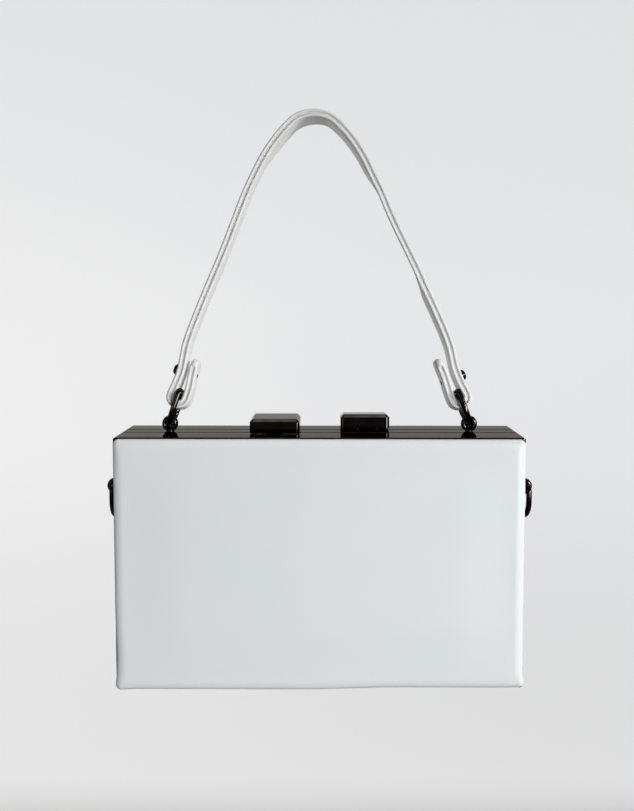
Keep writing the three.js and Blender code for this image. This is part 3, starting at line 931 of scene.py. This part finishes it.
post_model = ball_eye(EYE_REACH)
lug_model = ball_eye(LUG_REACH)
strap_ring_model = wire_ring(STRAP_RING_LENGTH)
side_ring_model = wire_ring(SIDE_RING_LENGTH)
for word, sign in SIDES.items():
    hang(post_model, word + "_post", "post_" + word, Matrix.Translation(at(sign * POST_X, 0, 0)))
    sideways = Matrix.Rotation(sign * math.pi / 2, 4, "Y")
    lug_place = Matrix.Translation(at(sign * CASE_HALF_WIDTH, 0, -LUG_DROP))
    hang(lug_model, word + "_lug", "lug_" + word, lug_place @ sideways)
    hole = Matrix.Translation(at(sign * (CASE_HALF_WIDTH + LUG_REACH), 0, -LUG_DROP))
    turned = Matrix.Rotation(sign * math.radians(SIDE_RING_TURN[word]), 4, "Z")
    hang(side_ring_model, word + "_side_ring", "side_ring_" + word, hole @ turned)
    bar_middle = ring_bar(word)[0]
    tilted = Matrix.Rotation(-sign * math.radians(RING_TILT[word]), 4, "Y")
    hang(strap_ring_model, word + "_strap_ring", "strap_ring_" + word,
         HANDLE @ Matrix.Translation(bar_middle * MM) @ tilted)
    rivet(word)
for model in (post_model, lug_model, strap_ring_model, side_ring_model):
    discard(model)
strap()


# Stage, light and camera

def stage():
    """A pale floor that sweeps up into a backdrop far behind the bag."""
    rest()
    bpy.ops.mesh.primitive_plane_add(size=1, location=(0, STAGE_MIDDLE, FLOOR))
    obj = named("pale_sweep")
    obj.scale = (STAGE_WIDTH, STAGE_DEPTH, 1)
    set_down(obj)
    pick(obj, "EDGE", lambda middle, along: middle.y > 1)
    bpy.ops.mesh.extrude_region_move(TRANSFORM_OT_translate={"value": (0, 0, STAGE_RISE)})
    pick(obj, "EDGE", lambda middle, along: middle.y > 1 and abs(middle.z - FLOOR) < 0.01)
    bpy.ops.mesh.bevel(offset=STAGE_SWEEP, segments=16, affect="EDGES")
    take(obj)
    bpy.ops.object.shade_smooth()
    obj.data.materials.append(pale_paper())


def soft_light(name, place, aim, size, watts, spread, colour):
    """An area light that looks at its aim."""
    rest()
    turn = (Vector(aim) - Vector(place)).to_track_quat("-Z", "Y").to_euler()
    bpy.ops.object.light_add(type="AREA", location=place, rotation=turn)
    lamp = named(name)
    lamp.data.shape = "RECTANGLE"
    lamp.data.size, lamp.data.size_y = size
    lamp.data.energy = watts
    lamp.data.color = colour
    lamp.data.spread = math.radians(spread)


stage()
for name, light in LIGHTS.items():
    soft_light(name, *light)

world = bpy.data.worlds.new("pale_room")
world.use_nodes = True
background = world.node_tree.nodes["Background"]
background.inputs["Color"].default_value = ROOM_COLOUR
background.inputs["Strength"].default_value = ROOM_STRENGTH
bpy.context.scene.world = world
bpy.context.scene.view_settings.view_transform = "Standard"

rest()
lens_turn = (math.radians(90 - CAMERA_PITCH), 0, -math.radians(CAMERA_YAW))
bpy.ops.object.camera_add(location=at(*CAMERA_AT), rotation=lens_turn)
camera = named("photo_camera")
long_side = max(IMAGE)
camera.data.sensor_width = SENSOR
camera.data.lens = CAMERA_FOCUS * SENSOR / long_side
camera.data.shift_x = (IMAGE[0] / 2 - CAMERA_CENTRE[0]) / long_side
camera.data.shift_y = (CAMERA_CENTRE[1] - IMAGE[1] / 2) / long_side
camera.data.clip_start = NEAR_CLIP
bpy.context.scene.camera = camera
